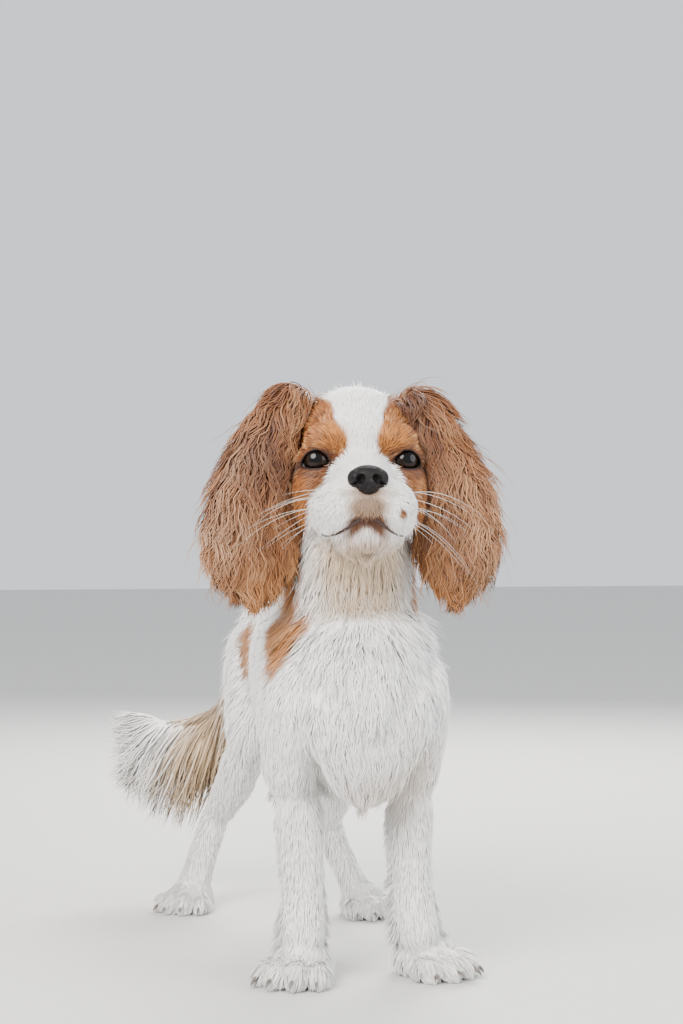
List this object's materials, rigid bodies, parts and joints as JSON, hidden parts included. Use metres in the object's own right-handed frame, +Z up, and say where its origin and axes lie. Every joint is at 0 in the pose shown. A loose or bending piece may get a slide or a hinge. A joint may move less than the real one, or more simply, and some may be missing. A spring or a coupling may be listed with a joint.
{
  "type": "standing toy spaniel",
  "caption": "Small long-eared spaniel standing with its head raised, a chestnut and white coat, a plumed tail and a thin collar.",
  "frame": {"origin": "on the floor, under the middle of the whole box", "axes": "+Z up, the dog faces -Y and its left side is at +X"},
  "size_m": [0.2344, 0.4796, 0.4271],
  "materials": {
    "coat_white": "soft long hair",
    "coat_chestnut": "soft long hair, slightly glossy",
    "eye": "wet gloss",
    "nose_leather": "moist, finely pebbled",
    "strap": "worn satin",
    "claw": "satin horn"
  },
  "bodies": {
    "root": {"collar": "strap", "ear_left": "coat_chestnut", "ear_right": "coat_chestnut", "eye_left": "eye", "eye_right": "eye", "foreleg_left_claw_1": "claw", "foreleg_left_claw_2": "claw", "foreleg_left_claw_3": "claw", "foreleg_left_claw_4": "claw", "foreleg_left_lower": "coat_white", "foreleg_left_paw": "coat_white", "foreleg_left_upper": "coat_white", "foreleg_right_claw_1": "claw", "foreleg_right_claw_2": "claw", "foreleg_right_claw_3": "claw", "foreleg_right_claw_4": "claw", "foreleg_right_lower": "coat_white", "foreleg_right_paw": "coat_white", "foreleg_right_upper": "coat_white", "hindleg_left_claw_1": "claw", "hindleg_left_claw_2": "claw", "hindleg_left_claw_3": "claw", "hindleg_left_claw_4": "claw", "hindleg_left_lower": "coat_white", "hindleg_left_paw": "coat_white", "hindleg_left_upper": "coat_white", "hindleg_right_claw_1": "claw", "hindleg_right_claw_2": "claw", "hindleg_right_claw_3": "claw", "hindleg_right_claw_4": "claw", "hindleg_right_lower": "coat_white", "hindleg_right_paw": "coat_white", "hindleg_right_upper": "coat_white", "lower_jaw": "coat_white", "muzzle": "coat_white", "neck": "coat_white", "nose": "nose_leather", "skull": "coat_chestnut", "tail_plume": "coat_white", "tail_root": "coat_chestnut", "trunk": "coat_white"}
  },
  "joints": []
}
